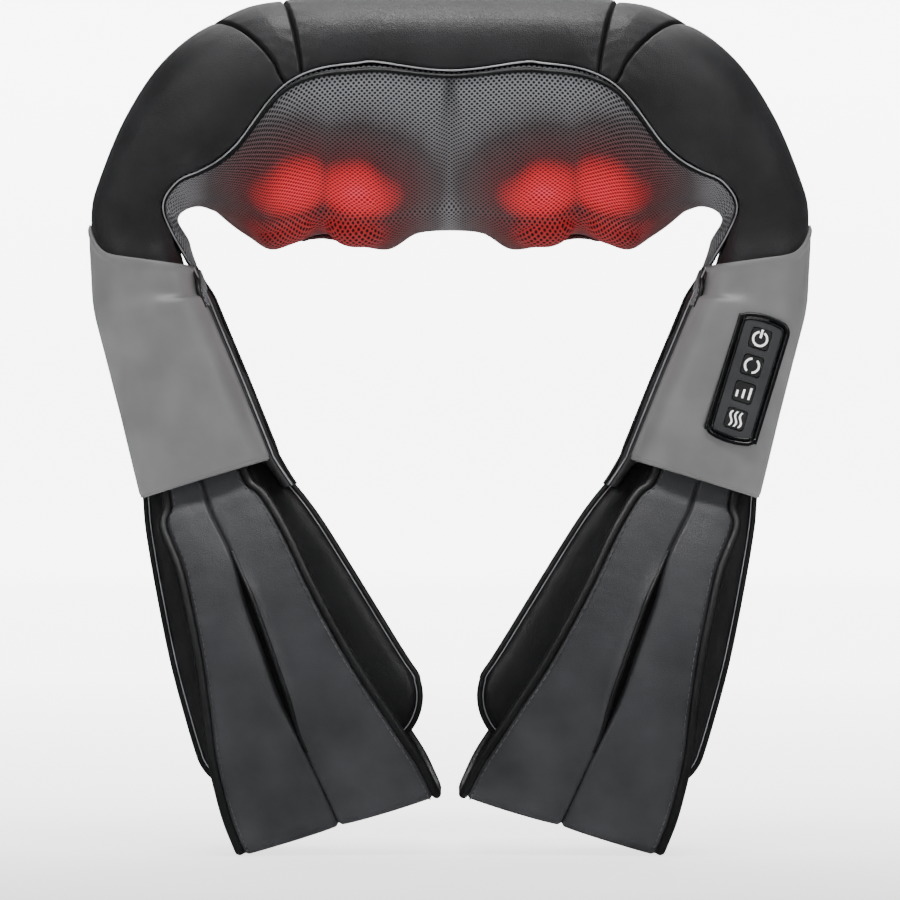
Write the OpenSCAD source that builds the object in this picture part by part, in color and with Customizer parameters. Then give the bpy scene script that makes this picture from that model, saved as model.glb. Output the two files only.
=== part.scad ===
// Shiatsu neck massager: a padded collar with two geared massage heads behind
// a mesh cover, and two soft arms that end in hand loops.
// Millimetres. +Z is up, the mesh and the keys face -Y, and X runs across.

/* [Collar] */
// Wall of the leather panels
leather_t = 2.4; // [1.6:0.1:3]
// Wall of the mesh cover
mesh_t = 1.6; // [1:0.1:2]
// Foam between leather and chassis
foam_t = 3.6; // [3.4:0.2:3.8]
// Chassis plate
chassis_t = 2.4; // [2:0.1:3]
// Roundness of the collar's section, where 2 is an ellipse
collar_power = 2.6; // [2.2:0.1:3]

/* [Massage heads] */
// Distance of each head from the middle
head_x = 71; // [70:1:72]
// Downward tilt of the heads' axes
head_tilt = 57; // [55:1:59]
// Radius of the circle that the nodes travel on
orbit_r = 28; // [27:0.5:28]
// Radius of a large node
node_r = 16; // [15:0.5:16]
// Radius of a small node
small_node_r = 13.5; // [12:0.5:14]
// Output shaft radius
shaft_r = 4; // [3.5:0.1:4]
// Running clearance of shafts, on the radius
run_gap = 0.05; // [0.03:0.01:0.08]
// Teeth on a worm wheel
wheel_teeth = 40; // [40:1:40]
// Pitch radius of a worm wheel
wheel_r = 24; // [24:1:24]
// Motor can radius
motor_r = 17; // [15:1:17]

/* [Arms] */
// Lean of each arm
arm_lean = 17; // [16:1:18]
// Wall of the grey sleeve
sleeve_t = 2; // [1.6:0.1:2.2]
// Height of the flex axis at the shoulder
flex_z = 336; // [334:1:338]
// Radius of the rounded shoulder end
flex_r = 29.5; // [29:0.5:29.5]
// Thickness of the padded tongue
tongue_t = 24; // [20:1:24]
// Thickness of the hand strap
strap_t = 3; // [2.5:0.1:3.5]

/* [Keys] */
// Side of a square key
key_side = 10.6; // [10:0.1:11]
// Distance from key to key
key_pitch = 15.3; // [15:0.1:15.5]
// Travel of a key
key_travel = 1; // [0.8:0.1:1]

/* [DC inlet] */
// Socket radius, for a 5.5 mm plug
inlet_r = 2.9; // [2.8:0.05:3]
// Centre pin radius
inlet_pin_r = 1.05; // [1:0.05:1.1]

/* [Hidden] */
$fn = 40;

leather = "#26272a";
mesh_grey = "#6c6d70";
sleeve_grey = "#77787a";
foam = "#d8cfa8";
moulding = "#3b3d42";
steel = "#b9bcc0";
brass = "#c9a14a";
lit_red = "#e0382f";

/* Collar surface. Each station is a section plane that holds the Y direction:
   outer x and z, inner x and z, middle y, half depth, slant, front edge of the
   mesh as an angle round the section (90 outer, 180 front, 270 inner). */
stations = [
    [0, 469, 0, 346, 0, 72, 0.45, 183],
    [48, 469, 44, 343, 0, 72, 0.45, 180],
    [92, 468, 84, 340, -1, 70, 0.44, 186],
    [128, 457, 112, 346, -2, 63, 0.38, 214],
    [156, 436, 131, 356, -4, 53, 0.3, 227],
    [176, 408, 143, 358, -6, 42, 0.2, 222],
    [190, 377, 151, 352, -7, 34, 0.1, 222],
    [198, 350, 149, 338, -7, 28, 0.03, 240],
    [197.5, 318, 143.5, 314, -7, 27.6, 0, 262],
    [196, 296, 136, 294, -7, 27.6, 0, 262]];
last_station = len(stations) - 1;
joint_station = 8.6;

function station(i) = i < 0
    ? [for (k = [0:7]) (k == 0 || k == 2 ? -1 : 1) * stations[-i][k]]
    : stations[min(i, last_station)];
function spline(a, b, c, d, t) = 0.5 * (2 * b + (c - a) * t
    + (2 * a - 5 * b + 4 * c - d) * t * t + (3 * b - a - 3 * c + d) * t * t * t);
function section(s) = let (i = floor(abs(s)), t = abs(s) - i,
    v = spline(station(i - 1), station(i), station(i + 1), station(i + 2), t))
    [for (k = [0:7]) (s < 0 && (k == 0 || k == 2) ? -1 : 1) * v[k]];
function power(x, p) = sign(x) * pow(abs(x), p);
// A point of the collar's surface, inset by d from the outside.
function skin(s, angle, d) = let (v = section(s),
    c = power(cos(angle), 2 / collar_power),
    u = power(sin(angle), 2 / collar_power),
    slant = v[6],
    flat = sqrt(1 - slant * slant),
    m = collar_power / (collar_power - 1),
    reach = pow(pow(flat, m) + pow(abs(slant), m), 1 / m),
    outer = [v[0], v[1]],
    inner = [v[2], v[3]],
    half = norm(outer - inner) / 2,
    across = (flat * u - slant * c) / reach * (half - d),
    xz = (outer + inner) / 2 + (outer - inner) / (2 * half) * across)
    [xz[0], v[4] + c * (v[5] - d), xz[1]];
function mesh_front(s) = section(s)[7];
function mesh_back(s) = 540 - section(s)[7];
function mix(a, b, t) = a + (b - a) * t;
// Seams lean towards the middle as they run down from the top.
function seam(at_top, at_edge, angle) =
    mix(at_top, at_edge, min(1, abs(angle - 90) / 93));

/* Massage heads: their frame has +Z out through the mesh and +Y up and forward. */
head_origin = [0, 0, 406];
head_y = -24;
dome_z = 32;
function from_head(p) = let (a = 90 + head_tilt)
    [p[0], p[1] * cos(a) - p[2] * sin(a), p[1] * sin(a) + p[2] * cos(a)] + head_origin;
function to_head(p) = let (q = p - head_origin, a = 90 + head_tilt)
    [q[0], q[1] * cos(a) + q[2] * sin(a), q[2] * cos(a) - q[1] * sin(a)];
rest_turn = 50;
carrier_z = 17;
carrier_t = 6;
base_z = 4;
base_t = 4;
wheel_z = -12;
wheel_w = 10;
worm_r = 6;
worm_y = head_y + wheel_r + worm_r;
worm_z = wheel_z + wheel_w / 2;
worm_l = 18;
module_size = 2 * wheel_r / wheel_teeth;
drive_r = 3;
drive_half = 92;
// Pillars: x, y, depth of the end, depth of the screw's head.
pillars = [[-100, 26, 29.6, 34.8], [-34, 36, 29.6, 34.8], [34, 36, 29.6, 34.8],
    [100, 26, 29.6, 34.8], [-24, -50, 25, 31.9], [24, -50, 25, 31.9]];
pillar_r = 4;
screw_r = 1.5;

/* Arms: their frame has +Z up along the arm and +X towards the outside. */
arm_origin = [134.5, 0, 203.5];
flex_y = -7;
key_x = 10.5;
key_z = 64;
face_y = -39.4;
inlet_at = [8, 22];

module head_place() translate(head_origin) rotate([90 + head_tilt, 0, 0]) children();
module at_head(side) head_place() translate([side * head_x, head_y, 0]) children();
module arm_place(side) mirror([side < 0 ? 1 : 0, 0, 0])
    translate(arm_origin) rotate([0, arm_lean, 0]) children();
module both(side) mirror([side < 0 ? 1 : 0, 0, 0]) children();

// Closed solid through rings of points, each ring with the same count.
module loft(rings) {
    n = len(rings[0]);
    m = len(rings);
    points = [for (r = rings) each r];
    ends = [for (r = [rings[0], rings[m - 1]])
        [for (k = [0:2]) let (c = [for (p = r) p[k]]) c * [for (p = r) 1] / n]];
    polyhedron(concat(points, ends), concat(
        [for (i = [0:m - 2]) for (j = [0:n - 1]) let (k = (j + 1) % n)
            each [[i * n + j, i * n + k, (i + 1) * n + k],
                [i * n + j, (i + 1) * n + k, (i + 1) * n + j]]],
        [for (j = [0:n - 1]) [n * m, (j + 1) % n, j]],
        [for (j = [0:n - 1]) [n * m + 1, (m - 1) * n + j, (m - 1) * n + (j + 1) % n]]));
}

// Closed sheet between two grids of points of the same size.
module sheet(outside, inside) {
    rows = len(outside);
    cols = len(outside[0]);
    rim = concat([for (j = [0:cols - 1]) [0, j]], [for (i = [1:rows - 1]) [i, cols - 1]],
        [for (j = [cols - 2:-1:0]) [rows - 1, j]], [for (i = [rows - 2:-1:1]) [i, 0]]);
    all = rows * cols;
    function id(i, j) = i * cols + j;
    polyhedron([for (g = [outside, inside]) for (r = g) each r], concat(
        [for (i = [0:rows - 2]) for (j = [0:cols - 2])
            let (a = id(i, j), b = id(i, j + 1), c = id(i + 1, j + 1), d = id(i + 1, j))
            each [[a, c, b], [a, d, c], [all + a, all + b, all + c], [all + a, all + c, all + d]]],
        [for (k = [0:len(rim) - 1])
            let (p = rim[k], q = rim[(k + 1) % len(rim)], a = id(p[0], p[1]), b = id(q[0], q[1]))
            each [[a, b, all + b], [a, all + b, all + a]]]));
}

// Round tube through a list of points.
module tube(path, r, sides) {
    last = len(path) - 1;
    loft([for (i = [0:last])
        let (d = path[min(i + 1, last)] - path[max(i - 1, 0)],
            along = d / norm(d),
            flat = cross(along, abs(along[2]) > 0.9 ? [0, 1, 0] : [0, 0, 1]),
            a = flat / norm(flat),
            b = cross(along, a))
        [for (j = [0:sides - 1]) path[i] - r * (a * cos(j * 360 / sides) + b * sin(j * 360 / sides))]]);
}

// Leather or foam between two leaning seams, from the mesh's rear edge over the top to its front edge.
module over_top(low, high, inset, thick, rows, cols, trim = 0) {
    function at(i, j, d) = let (v = j / cols,
        nominal = mix(-3, 183, v),
        s = mix(seam(low[0], low[1], nominal), seam(high[0], high[1], nominal), i / rows))
        skin(s, mix(mesh_back(s) - 360 + trim, mesh_front(s) - trim, v), d);
    sheet([for (i = [0:rows]) [for (j = [0:cols]) at(i, j, inset)]],
        [for (i = [0:rows]) [for (j = [0:cols]) at(i, j, inset + thick)]]);
}

seam_gap = 0.01;
inner_seam = [2.1, 1.77];
outer_seam = [3.4, 1.99];

module centre_panel() color(leather)
    over_top(-inner_seam, inner_seam, 0, leather_t, 14, 24);
module gusset(side) color(leather) both(side)
    over_top(inner_seam + [seam_gap, seam_gap], outer_seam, 0, leather_t, 6, 24);
// The shoulder ends in a barrel round the flex axis, so that the arm can swing on it.
module shoulder_end() {
    translate([100, flex_y - 120, flex_z]) cube([140, 240, 200]);
    translate([60, flex_y, flex_z]) rotate([0, 90, 0]) cylinder(r = flex_r, h = 180);
}
module shoulder(side) color(leather) both(side) intersection() {
    over_top(outer_seam + [seam_gap, seam_gap], [joint_station, joint_station],
        0, leather_t, 18, 24);
    union() {
        translate([0, -150, flex_z]) cube([240, 300, 200]);
        translate([60, flex_y, flex_z]) rotate([0, 90, 0]) cylinder(r = flex_r, h = 180);
    }
}
module shoulder_foam(side) color(foam) both(side) intersection() {
    loft([for (s = [4.6:0.4:joint_station])
        [for (j = [0:23]) skin(s, -j * 15, leather_t + 0.8)]]);
    shoulder_end();
}

// How far a node reaches past the plane of the dome centres, at distance p from a head's axis.
mesh_room = 3.9;
function swept(p) = let (q = abs(p - orbit_r), r = node_r + mesh_room)
    q < r ? sqrt(r * r - q * q) : 0;
// The mesh clears the ring that the nodes travel through on both heads.
function mesh_point(s, angle, d) = let (p = skin(s, angle, d), h = to_head(p),
    off = [for (side = [-1, 1]) norm([h[0] - side * head_x, h[1] - head_y])],
    near = min(off),
    need = near < orbit_r ? swept(orbit_r) : swept(near),
    lift = max(0, dome_z + need - d - h[2]))
    near < orbit_r + node_r + mesh_room && h[2] > 0 ? from_head([h[0], h[1], h[2] + lift]) : p;
mesh_end = 6.4; // station where the cover ends
mesh_rows = 62;
mesh_cols = 21;
function mesh_grid(d) = [for (i = [0:mesh_rows]) let (s = mix(-mesh_end, mesh_end, i / mesh_rows))
    [for (j = [0:mesh_cols])
        mesh_point(s, mix(mesh_front(s) + 1, mesh_back(s) - 1, j / mesh_cols), d)]];
module mesh_cover() color(mesh_grey) sheet(mesh_grid(0.4), mesh_grid(0.4 + mesh_t));
piping_r = 1.8;
piping_in = 1.9;
module mesh_piping() color(leather) {
    stations = [for (i = [-26:26]) i / 4];
    tube([for (s = stations) skin(s, mesh_front(s), -piping_in)], piping_r, 6);
    tube([for (s = stations) skin(s, mesh_back(s), -piping_in)], piping_r, 6);
}
// Gap between foam and chassis, where the screw heads sit.
foam_room = 5.4;
module collar_foam() color(foam)
    over_top([-3.3, -2.1], [3.3, 2.1], leather_t + 1, foam_t, 18, 18, 6);
module chassis() color(moulding) difference() {
    over_top([-3.1, -1.9], [3.1, 1.9], leather_t + foam_t + foam_room, chassis_t, 18, 20, 14);
    head_place() for (p = pillars) translate([p[0], p[1], -40]) cylinder(r = screw_r + 0.2, h = 40);
}

module gearbox_base() color(moulding) head_place() difference() {
    union() {
        translate([0, 0, base_z]) linear_extrude(base_t) base_outline();
        for (p = pillars) translate([p[0], p[1], -p[2]])
            cylinder(r = pillar_r, h = p[2] + base_z);
    }
    for (side = [-1, 1]) translate([side * head_x, head_y, base_z - 1])
        cylinder(r = bush_r, h = base_t + 2);
    for (p = pillars) translate([p[0], p[1], -p[2] - 1])
        cylinder(r = screw_r, h = 14);
    translate([-motor_half - 2, worm_y - motor_r, base_z - 1])
        cube([2 * motor_half + 4, 2 * motor_r, base_t + 2]);
}
base_corner = 24;
base_x = 88;
base_y = [-34, 18];
module base_outline() hull() for (x = [-base_x, base_x], y = base_y)
    translate([x, y]) circle(base_corner);
bush_r = 7;
cover_wall = 2;
wheel_room = [3, 14.5]; // round each wheel, and behind the base
worm_room = [2, 9, 18]; // past the shaft's ends, below it, and behind the base
worm_box_w = 20;
motor_box_half = 36;
// Rooms for the wheels, the worm shaft and the motor, grown by a wall and closed at a height.
module cover_body(grow, top) {
    for (side = [-1, 1]) translate([side * head_x, head_y, -wheel_room[1] - grow])
        cylinder(r = wheel_r + wheel_room[0] + grow, h = wheel_room[1] + grow + top);
    translate([-drive_half - worm_room[0] - grow, worm_y - worm_room[1] - grow, -worm_room[2] - grow])
        cube([2 * (drive_half + worm_room[0] + grow), worm_box_w + 2 * grow, worm_room[2] + grow + top]);
    translate([-motor_box_half - grow, worm_y - motor_r - 1 - grow, worm_z - motor_r - 1 - grow])
        cube([2 * (motor_box_half + grow), 2 * (motor_r + 1 + grow), motor_r + 1 + grow - worm_z + top]);
}
module gearbox_cover() color(moulding) head_place() difference() {
    cover_body(cover_wall, base_z - 0.05);
    cover_body(0, base_z + 2);
}
screw_head = [2.6, 1.2];
screw_l = 14;
module chassis_screws() color(steel) head_place()
    for (p = pillars) translate([p[0], p[1], -p[3] - screw_head[1]]) {
        cylinder(r = screw_head[0], h = screw_head[1]);
        cylinder(r = screw_r - 0.1, h = screw_l);
    }

module along_x(x, y, z) translate([x, y, z]) rotate([0, 90, 0]) children();
motor_half = 28;
module motor() color(steel) head_place() difference() {
    along_x(-motor_half, worm_y, worm_z) cylinder(r = motor_r - 1, h = 2 * motor_half);
    along_x(-motor_half - 1, worm_y, worm_z) cylinder(r = drive_r + run_gap, h = 2 * motor_half + 2);
}
bracket_half = motor_half + 0.3;
bracket_size = [2, 24, 22.8];
module motor_bracket() color(steel) head_place()
    for (side = [-1, 1]) let (middle = side * (bracket_half + bracket_size[0] / 2)) difference() {
        translate([middle - 1, worm_y - bracket_size[1] / 2, worm_z - bracket_size[1] / 2])
            cube(bracket_size);
        along_x(middle - 2, worm_y, worm_z) cylinder(r = drive_r + run_gap, h = 4);
    }
module drive_shaft() color(steel) head_place()
    along_x(-drive_half, worm_y, worm_z) cylinder(r = drive_r, h = 2 * drive_half);
// One thread turns the wheel by one tooth each turn. Its crest faces the wheel at mid length.
module worm(side) color(brass) head_place() along_x(side * head_x - worm_l / 2, worm_y, worm_z)
    difference() {
        worm_thread(side);
        translate([0, 0, -1]) cylinder(r = drive_r, h = worm_l + 2);
    }
worm_lead = PI * module_size;
thread_height = 0.9;
module worm_thread(side) {
    twist = side * 360 * worm_l / worm_lead;
    linear_extrude(worm_l, twist = twist, slices = 44)
        rotate(twist / 2 - 90) translate([thread_height, 0]) circle(r = worm_r - 0.1, $fn = 14);
}
// Corners of a tooth: part of a pitch off its middle, and height over the pitch circle.
tooth = [[-0.3, -1.3], [-0.1, 0.4], [0.1, 0.4], [0.3, -1.3]];
module wheel_outline() polygon([for (i = [0:wheel_teeth - 1]) for (k = tooth)
    let (a = (i + 0.5 + k[0]) * 360 / wheel_teeth, r = wheel_r + k[1])
    [r * cos(a), r * sin(a)]]);
module worm_wheel(side) color("#e9e4d4") at_head(side) translate([0, 0, wheel_z])
    difference() {
        linear_extrude(wheel_w) wheel_outline();
        translate([0, 0, -1]) cylinder(r = shaft_r, h = wheel_w + 2);
    }
module output_shaft(side) color(steel) at_head(side) translate([0, 0, wheel_z - 1])
    cylinder(r = shaft_r, h = carrier_z + carrier_t + 1 - wheel_z);
module bush(side) color(brass) at_head(side) difference() {
    union() {
        translate([0, 0, base_z]) cylinder(r = bush_r, h = base_t);
        translate([0, 0, base_z + base_t]) cylinder(r = bush_r + 2, h = 1.5);
    }
    translate([0, 0, base_z - 1]) cylinder(r = shaft_r + run_gap, h = base_t + 4);
}
hub_r = 11;
spoke_w = 12;
pad_r = 10;
module rotor_arm(side) color(moulding) at_head(side) difference() {
    translate([0, 0, carrier_z]) {
        cylinder(r = hub_r, h = carrier_t);
        for (k = [0:3]) rotate([0, 0, side * (rest_turn + 90 * k)]) {
            translate([0, -spoke_w / 2, 0]) cube([orbit_r, spoke_w, carrier_t]);
            translate([orbit_r, 0, 0]) cylinder(r = pad_r, h = carrier_t);
        }
    }
    translate([0, 0, carrier_z - 1]) cylinder(r = shaft_r, h = carrier_t + 2);
}
module dome(r) {
    top = dome_z + node_r - r;
    base = carrier_z + carrier_t;
    translate([orbit_r, 0, 0]) rotate_extrude() {
        translate([0, base]) square([r - 1.5, top - base]);
        translate([0, top - 3]) square([r, 3]);
        intersection() {
            translate([0, top]) circle(r);
            translate([0, top]) square(r);
        }
    }
}
module nodes(side, first, r) color(lit_red) at_head(side)
    for (k = [first, first + 2]) rotate([0, 0, side * (rest_turn + 90 * k)]) dome(r);
board_r = 24;
board_t = 1.6;
lamps = 6;
lamp_ring = 17;
lamp_size = [2.5, 4]; // radius and height
module heater_board(side) color("#2e6b3a") at_head(side) translate([0, 0, base_z + base_t + 0.2]) {
    difference() {
        cylinder(r = board_r, h = board_t);
        translate([0, 0, -1]) cylinder(r = bush_r + 2.5, h = board_t + 2);
    }
    for (k = [0:lamps - 1]) rotate([0, 0, 360 / lamps * k]) translate([lamp_ring, 0, board_t])
        cylinder(r = lamp_size[0], h = lamp_size[1]);
}
wire_r = 1.4;
wire_path = [[-40, 34, 11], [-20, 32, 12], [10, 34, 13], [40, 36, 12], [70, 34, 11], [96, 28, 9.8]];
module wiring() color("#8c2f2a") tube([for (p = wire_path) from_head(p)], wire_r, 8);

/* Arm sections: height, outside edge, inside edge, middle y, half depth. */
sleeve_rings = [[4, 37.3, -38.4, -9.8, 27.8], [20, 36.4, -37, -9.5, 28.6], [50, 34.6, -34.4, -8.6, 29.8],
    [80, 33.2, -31.4, -7.8, 31], [105, 32.2, -29, -7, 32.4], [135, 31, -27, -7, 32.4],
    [160, 29.5, -24, -7, 32.4]];
arm_power = 3.4;
function arm_ring(v, d) = [for (j = [0:35]) let (a = j * 10,
    c = power(cos(a), 2 / arm_power), u = power(sin(a), 2 / arm_power))
    [(v[1] + v[2]) / 2 + c * ((v[1] - v[2]) / 2 - d), v[3] - u * (v[4] - d), v[0]]];
module arm_body(d, low, high) intersection() {
    loft([for (v = sleeve_rings) arm_ring(v, d)]);
    translate([-100, -100, low]) cube([200, 200, high - low]);
}
// Everything above the arm's top, and the barrel that the shoulder ends in.
module clear_of_shoulder(side, top) difference() {
    children();
    both(side) {
        translate([0, -100, top]) cube([300, 200, 200]);
        translate([60, flex_y, flex_z]) rotate([0, 90, 0]) cylinder(r = flex_r + 0.5, h = 180);
    }
}
sleeve_top = 329;
module sleeve(side) color(sleeve_grey) clear_of_shoulder(side, sleeve_top) arm_place(side) difference() {
    arm_body(0, 4, 150);
    loft([for (v = sleeve_rings) arm_ring(v == sleeve_rings[0] ? v - [4, 0, 0, 0, 0] : v, sleeve_t)]);
    if (side > 0) {
        key_opening(1.3);
        inlet_hole(5.9);
    }
}
// Straight long sides and gently arched short ends.
end_r = 40;
module key_outline(grow) {
    half_w = 13.4 + grow;
    half_l = 35 + grow;
    intersection() {
        square(2 * [half_w, half_l], center = true);
        translate([0, half_l - end_r]) circle(end_r);
        translate([0, end_r - half_l]) circle(end_r);
    }
}
module facing_front(y, depth) translate([key_x, y, key_z]) rotate([90, 0, 0])
    translate([0, 0, -depth]) linear_extrude(depth) children();
module key_opening(grow) facing_front(-50, 38) key_outline(grow);
module inlet_hole(r) translate([inlet_at[0], 4, inlet_at[1]]) rotate([-90, 0, 0]) cylinder(r = r, h = 40);
core_top = 329;
module arm_core(side) color(foam) clear_of_shoulder(side, core_top) arm_place(side) difference() {
    arm_body(sleeve_t + 0.3, 12, 150);
    if (side > 0) {
        translate([key_x - 15, -60, key_z - 38]) cube([30, 47.5, 76]);
        translate([inlet_at[0] - 8, 0, inlet_at[1] - 8]) cube([16, 40, 16]);
    }
}
tongue_y = -14.8;
module tongue_outline() {
    neck = [[27, 10], [27, -6.5]];
    outside = [[39, -7], [43, -44], [47.4, -88], [48.7, -124]];
    inside = [[-80, -134], [-75, -117], [-55, -41], [-44, -7], [-27, -6.5], [-27, 10]];
    polygon(concat(neck, outside,
        [for (a = [0:10:90]) [22.7 + 26 * cos(a), -142 - 26 * sin(a)]],
        [for (a = [90:10:180]) [-50 + 30 * cos(a), -138 - 30 * sin(a)]], inside));
}
module tongue(side) color(leather) arm_place(side) translate([0, tongue_y + tongue_t, 0])
    rotate([90, 0, 0]) linear_extrude(tongue_t) tongue_outline();

/* Hand strap: y and z of its middle line, then its outside and inside edge. */
strap_line = [[-28, 10, 24, -24], [-29, -6, 26, -26], [-33, -16, 31, -32], [-41, -40, 29, -38],
    [-47, -66, 30.5, -42], [-50.5, -92, 33, -47], [-52, -118, 37, -53], [-51, -144, 41.6, -60.6],
    [-48, -166, 43.4, -67], [-44, -180, 43.8, -71], [-38, -192, 43.2, -73], [-29, -198.7, 43, -74],
    [-10, -199.3, 43, -74], [14, -199.3, 43, -74], [33, -198.7, 43, -74], [42, -192, 43.2, -73],
    [47, -180, 43.8, -71], [49, -166, 43.4, -67], [47, -144, 41.6, -60.6], [39, -122, 37.5, -54],
    [25, -102, 34.5, -49], [14.6, -88, 32.4, -46], [11, -78, 31.5, -44], [11, -48, 29, -39]];
module hand_strap(side) color(leather) difference() {
    arm_place(side) loft([for (i = [0:len(strap_line) - 1])
        let (last = len(strap_line) - 1, p = strap_line[i],
            d = strap_line[min(i + 1, last)] - strap_line[max(i - 1, 0)],
            n = [-d[1], d[0]] / norm([d[0], d[1]]) * strap_t / 2)
        [[p[2], p[0] + n[0], p[1] + n[1]], [p[3], p[0] + n[0], p[1] + n[1]],
            [p[3], p[0] - n[0], p[1] - n[1]], [p[2], p[0] - n[0], p[1] - n[1]]]]);
    translate([-200, -100, -20]) cube([400, 200, 20]);
}

plate_t = 2.4;
rim_depth = 5.6;
module key_spots() for (k = [0:3]) translate([0, key_pitch * (1.5 - k)]) children();
module rounded_square(side) {
    r = 1.6;
    for (turn = [0, 90]) rotate(turn) square([side, side - 2 * r], center = true);
    for (x = [-1, 1], y = [-1, 1]) translate([x, y] * (side / 2 - r)) circle(r);
}
module key_bezel() color("#17181a") arm_place(1) difference() {
    facing_front(face_y, rim_depth) key_outline(1);
    facing_front(face_y + plate_t, rim_depth) key_outline(-0.9);
    facing_front(face_y - 1, rim_depth) key_spots() rounded_square(key_side + 0.6);
}
key_l = 4.4;
module key(k) color("#2a2b2e") arm_place(1) translate([0, 0, key_pitch * (1.5 - k)])
    facing_front(face_y - 0.4, key_l) rounded_square(key_side);
housing_y = face_y + plate_t + 0.05;
board_size = [22.2, 60];
module key_mat() color("#c9c9cc") arm_place(1)
    facing_front(face_y - 0.4 + key_l + key_travel + 0.15, 1.2) square(board_size, center = true);
module key_board() color("#2e6b3a") arm_place(1)
    facing_front(face_y - 0.4 + key_l + key_travel + 1.5, 1.6) square(board_size, center = true);
module key_housing() color(moulding) arm_place(1) difference() {
    facing_front(housing_y, 12) square(board_size + [2, 2.4], center = true);
    facing_front(housing_y - 1, 11) square(board_size + [0.2, 0.2], center = true);
}
inlet_l = 13;
inlet_floor = 2.5;
pin_root_r = 1.5;
inlet_y = 6;
module dc_inlet() color("#111214") arm_place(1) translate([inlet_at[0], inlet_y, inlet_at[1]])
    rotate([-90, 0, 0]) difference() {
        cylinder(r = 5.6, h = inlet_l);
        translate([0, 0, inlet_floor]) cylinder(r = inlet_r, h = inlet_l);
        translate([0, 0, -1]) cylinder(r = pin_root_r, h = 5);
    }
module dc_inlet_pin() color(steel) arm_place(1) translate([inlet_at[0], inlet_y, inlet_at[1]])
    rotate([-90, 0, 0]) {
        cylinder(r = pin_root_r, h = inlet_floor);
        translate([0, 0, inlet_floor]) cylinder(r = inlet_pin_r, h = 9.5);
    }

centre_panel();
gusset(-1);  // gusset_left
gusset(1);  // gusset_right
shoulder(-1);  // shoulder_left
shoulder(1);  // shoulder_right
mesh_cover();
mesh_piping();
collar_foam();
shoulder_foam(-1);  // shoulder_foam_left
shoulder_foam(1);  // shoulder_foam_right
chassis();
gearbox_base();
gearbox_cover();
chassis_screws();
motor();
motor_bracket();
drive_shaft();
worm(-1);  // worm_left
worm(1);  // worm_right
worm_wheel(-1);  // worm_wheel_left
worm_wheel(1);  // worm_wheel_right
output_shaft(-1);  // output_shaft_left
output_shaft(1);  // output_shaft_right
bush(-1);  // bush_left
bush(1);  // bush_right
rotor_arm(-1);  // rotor_arm_left
rotor_arm(1);  // rotor_arm_right
nodes(-1, 0, node_r);  // large_nodes_left
nodes(1, 0, node_r);  // large_nodes_right
nodes(-1, 1, small_node_r);  // small_nodes_left
nodes(1, 1, small_node_r);  // small_nodes_right
heater_board(-1);  // heater_board_left
heater_board(1);  // heater_board_right
wiring();
sleeve(-1);  // sleeve_left
sleeve(1);  // sleeve_right
arm_core(-1);  // arm_core_left
arm_core(1);  // arm_core_right
tongue(-1);  // tongue_left
tongue(1);  // tongue_right
hand_strap(-1);  // hand_strap_left
hand_strap(1);  // hand_strap_right
key_bezel();
key_housing();
key_mat();
key_board();
key(0);  // key_power
key(1);  // key_direction
key(2);  // key_intensity
key(3);  // key_heat
dc_inlet();
dc_inlet_pin();
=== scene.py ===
"""Looks of the shiatsu neck massager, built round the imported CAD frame.

Lengths are written in millimetres and turned into metres when a mesh is made.
The collar's surface and the arms' frames are the ones that the design uses.
"""
import math

import bpy
import bmesh
import numpy as np
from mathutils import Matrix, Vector
from mathutils.geometry import delaunay_2d_cdt


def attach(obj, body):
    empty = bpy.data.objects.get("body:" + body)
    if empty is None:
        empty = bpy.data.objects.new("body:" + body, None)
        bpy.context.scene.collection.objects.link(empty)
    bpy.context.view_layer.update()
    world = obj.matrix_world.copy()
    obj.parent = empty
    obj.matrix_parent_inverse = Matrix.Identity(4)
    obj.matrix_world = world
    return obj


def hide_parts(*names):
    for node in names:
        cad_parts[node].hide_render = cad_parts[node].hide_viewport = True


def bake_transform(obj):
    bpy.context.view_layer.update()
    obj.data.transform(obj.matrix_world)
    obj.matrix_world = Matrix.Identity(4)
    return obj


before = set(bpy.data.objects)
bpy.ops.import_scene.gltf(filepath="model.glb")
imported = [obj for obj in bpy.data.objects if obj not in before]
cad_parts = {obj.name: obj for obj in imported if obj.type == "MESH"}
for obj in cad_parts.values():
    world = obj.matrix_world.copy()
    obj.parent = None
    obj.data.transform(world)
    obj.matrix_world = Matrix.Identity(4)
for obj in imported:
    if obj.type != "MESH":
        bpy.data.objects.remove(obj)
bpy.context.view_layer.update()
MM = 0.001

# ---------------------------------------------------------------- the design's surfaces

# Collar sections: outer x and z, inner x and z, middle y, half depth, slant, front edge of the mesh.
STATIONS = np.array([
    [0, 469, 0, 346, 0, 72, 0.45, 183],
    [48, 469, 44, 343, 0, 72, 0.45, 180],
    [92, 468, 84, 340, -1, 70, 0.44, 186],
    [128, 457, 112, 346, -2, 63, 0.38, 214],
    [156, 436, 131, 356, -4, 53, 0.3, 227],
    [176, 408, 143, 358, -6, 42, 0.2, 222],
    [190, 377, 151, 352, -7, 34, 0.1, 222],
    [198, 350, 149, 338, -7, 28, 0.03, 240],
    [197.5, 318, 143.5, 314, -7, 27.6, 0, 262],
    [196, 296, 136, 294, -7, 27.6, 0, 262]], float)
COLLAR_POWER = 2.6
INNER_SEAM = (2.1, 1.77)
OUTER_SEAM = (3.4, 1.99)
HEAD_ORIGIN = np.array([0, 0, 406.0])
HEAD_TILT = math.radians(57)
HEAD_X, HEAD_Y, ORBIT, DOME_Z, REST_TURN = 71, -24, 28, 32, 50
NODE_R = 16
ARM_ORIGIN = (134.5, 203.5)
ARM_LEAN = math.radians(17)


def power(x, p):
    return np.sign(x) * np.abs(x) ** p


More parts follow.
